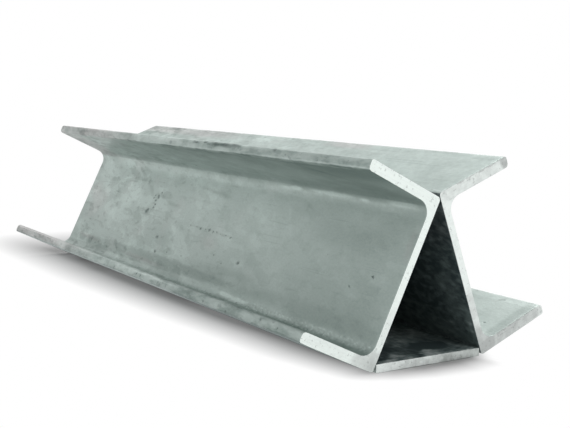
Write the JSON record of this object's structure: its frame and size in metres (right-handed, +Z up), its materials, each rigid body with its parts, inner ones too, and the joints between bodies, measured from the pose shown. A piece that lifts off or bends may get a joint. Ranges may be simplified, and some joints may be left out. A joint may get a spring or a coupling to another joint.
{
  "type": "built-up beam of two leaning steel channels and a bottom plate",
  "caption": "Short length of built-up steel beam: equal channels lean together back to back over a flat plate, flanges outwards, around a triangular hollow open at the ends.",
  "frame": {"origin": "on the underside, in the middle of the length and of the width", "axes": "+X along the beam, +Y across it from the left channel to the right channel, +Z up"},
  "size_m": [0.555, 0.2152, 0.1404],
  "materials": {
    "channel_steel": "bare mill-finish steel, dull grey-green with soft mottling, bright bare metal on the saw cuts and worn edges",
    "plate_steel": "bare mill-finish steel, slightly darker and more mottled than the channels"
  },
  "bodies": {
    "root": {"left_channel": "channel_steel", "right_channel": "channel_steel", "bottom_plate": "plate_steel"}
  },
  "joints": []
}
